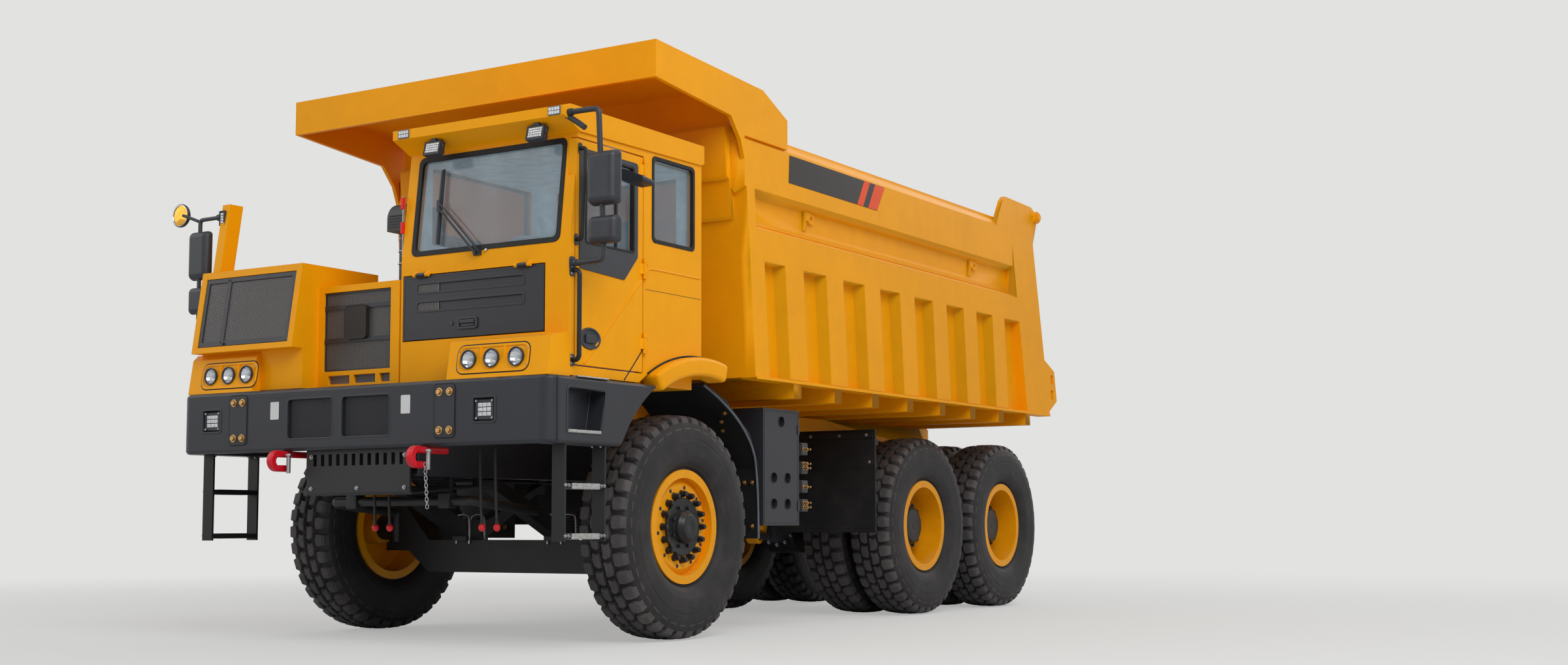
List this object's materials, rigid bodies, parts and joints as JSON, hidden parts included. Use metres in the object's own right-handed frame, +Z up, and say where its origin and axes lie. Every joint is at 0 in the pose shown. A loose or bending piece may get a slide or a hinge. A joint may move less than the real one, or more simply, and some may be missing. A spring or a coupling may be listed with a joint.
{
  "type": "mining dump truck",
  "caption": "Wide-body off-road dump truck with an offset half cab, ribbed tipping bed with a cab canopy, twin rear wheels and a top-hung tailgate.",
  "frame": {"origin": "on the ground, in the middle of the truck's length and width", "axes": "+X to the vehicle's left, +Y to its rear, +Z up"},
  "size_m": [3.5999, 7.32, 3.6399],
  "materials": {
    "yellow_paint": "semi-gloss",
    "wheel_paint": "satin",
    "charcoal_paint": "satin",
    "chassis_black": "satin",
    "engine_iron": "rough",
    "hook_red": "gloss",
    "tyre_rubber": "matt",
    "black_rubber": "matt",
    "black_plastic": "satin",
    "seat_fabric": "woven",
    "clear_glass": "clear",
    "hoist_yellow": "satin",
    "hoist_chrome": "polished"
  },
  "bodies": {
    "chassis": {"frame_rails": "charcoal_paint", "front_bumper": "charcoal_paint", "skid_plate": "chassis_black", "tow_hooks": "hook_red", "ladders_and_rails": "charcoal_paint", "cab_shell": "yellow_paint", "cab_windows": "clear_glass", "dashboard": "black_plastic", "driver_seat": "seat_fabric", "engine_cover": "yellow_paint", "grilles": "charcoal_paint", "headlamps": "yellow_paint", "engine_block": "engine_iron", "radiator": "chassis_black", "air_cleaner": "charcoal_paint", "fuel_tank": "charcoal_paint", "side_cabinet": "charcoal_paint", "fenders": "yellow_paint", "mudguards": "black_rubber", "mirrors": "black_plastic", "front_axle": "chassis_black", "rear_axles": "chassis_black", "springs": "chassis_black"},
    "cab_door": {"cab_door": "yellow_paint", "door_glass": "clear_glass"},
    "service_flap": {"service_flap": "charcoal_paint"},
    "knuckle_left": {"knuckle_left": "chassis_black"},
    "knuckle_right": {"knuckle_right": "chassis_black"},
    "tie_rod": {"tie_rod": "chassis_black"},
    "front_left_wheel": {"tyre_front_left": "tyre_rubber", "wheel_front_left": "wheel_paint"},
    "front_right_wheel": {"tyre_front_right": "tyre_rubber", "wheel_front_right": "wheel_paint"},
    "middle_left_wheels": {"tyres_middle_left": "tyre_rubber", "wheels_middle_left": "wheel_paint"},
    "middle_right_wheels": {"tyres_middle_right": "tyre_rubber", "wheels_middle_right": "wheel_paint"},
    "rear_left_wheels": {"tyres_rear_left": "tyre_rubber", "wheels_rear_left": "wheel_paint"},
    "rear_right_wheels": {"tyres_rear_right": "tyre_rubber", "wheels_rear_right": "wheel_paint"},
    "dump_bed": {"dump_bed": "yellow_paint", "bed_canopy": "yellow_paint"},
    "tailgate": {"tailgate": "yellow_paint"},
    "hoist_barrels": {"hoist_barrels": "hoist_yellow"},
    "hoist_stages": {"hoist_stages": "hoist_chrome"},
    "hoist_rods": {"hoist_rods": "hoist_chrome"}
  },
  "joints": [
    {"name": "steer_left", "type": "hinge", "parent": "chassis", "child": "knuckle_left", "pos_m": [1.045, -2.04, 0.7], "axis": [0, 0, 1], "range_deg": [-28, 28]},
    {"name": "steer_right", "type": "hinge", "parent": "chassis", "child": "knuckle_right", "pos_m": [-1.045, -2.04, 0.7], "axis": [0, 0, 1], "range_deg": [-28, 28]},
    {"name": "tie_rod_turn", "type": "hinge", "parent": "knuckle_left", "child": "tie_rod", "pos_m": [1.045, -1.79, 0.505], "axis": [0, 0, 1], "range_deg": [-28, 28]},
    {"name": "front_left_wheel_spin", "type": "hinge", "parent": "knuckle_left", "child": "front_left_wheel", "pos_m": [1.22, -2.04, 0.7], "axis": [1, 0, 0], "continuous": true},
    {"name": "front_right_wheel_spin", "type": "hinge", "parent": "knuckle_right", "child": "front_right_wheel", "pos_m": [-1.22, -2.04, 0.7], "axis": [1, 0, 0], "continuous": true},
    {"name": "middle_left_wheels_spin", "type": "hinge", "parent": "chassis", "child": "middle_left_wheels", "pos_m": [0.8975, 1.475, 0.7], "axis": [1, 0, 0], "continuous": true},
    {"name": "middle_right_wheels_spin", "type": "hinge", "parent": "chassis", "child": "middle_right_wheels", "pos_m": [-0.8975, 1.475, 0.7], "axis": [1, 0, 0], "continuous": true},
    {"name": "rear_left_wheels_spin", "type": "hinge", "parent": "chassis", "child": "rear_left_wheels", "pos_m": [0.8975, 2.96, 0.7], "axis": [1, 0, 0], "continuous": true},
    {"name": "rear_right_wheels_spin", "type": "hinge", "parent": "chassis", "child": "rear_right_wheels", "pos_m": [-0.8975, 2.96, 0.7], "axis": [1, 0, 0], "continuous": true},
    {"name": "cab_door_swing", "type": "hinge", "parent": "chassis", "child": "cab_door", "pos_m": [1.465, -2.6145, 2.26], "axis": [0, 0, 1], "range_deg": [0, 85]},
    {"name": "service_flap_lift", "type": "hinge", "parent": "chassis", "child": "service_flap", "pos_m": [0.73, -3.334, 2.203], "axis": [-1, 0, 0], "range_deg": [0, 80]},
    {"name": "bed_tilt", "type": "hinge", "parent": "chassis", "child": "dump_bed", "pos_m": [0, 3.23, 1.27], "axis": [-1, 0, 0], "range_deg": [0, 45]},
    {"name": "tailgate_swing", "type": "hinge", "parent": "dump_bed", "child": "tailgate", "pos_m": [0, 3.14, 3.395], "axis": [1, 0, 0], "range_deg": [0, 50]},
    {"name": "hoist_swing", "type": "hinge", "parent": "chassis", "child": "hoist_barrels", "pos_m": [0, 0.57, 0.62], "axis": [-1, 0, 0], "range_deg": [0, 3.78]},
    {"name": "hoist_first_stage", "type": "slide", "parent": "hoist_barrels", "child": "hoist_stages", "axis": [0, 0.3939, 0.9191], "range_m": [0, 0.8747]},
    {"name": "hoist_second_stage", "type": "slide", "parent": "hoist_stages", "child": "hoist_rods", "axis": [0, 0.3939, 0.9191], "range_m": [0, 0.8747]}
  ],
  "couplings": [
    {"joint": "steer_right", "follows": "steer_left", "ratio": 1},
    {"joint": "tie_rod_turn", "follows": "steer_left", "ratio": -1},
    {"joint": "hoist_swing", "follows": "bed_tilt", "ratio": 0.082814},
    {"joint": "hoist_first_stage", "follows": "bed_tilt", "m_per_rad": 1.1112},
    {"joint": "hoist_second_stage", "follows": "bed_tilt", "m_per_rad": 1.1112}
  ]
}
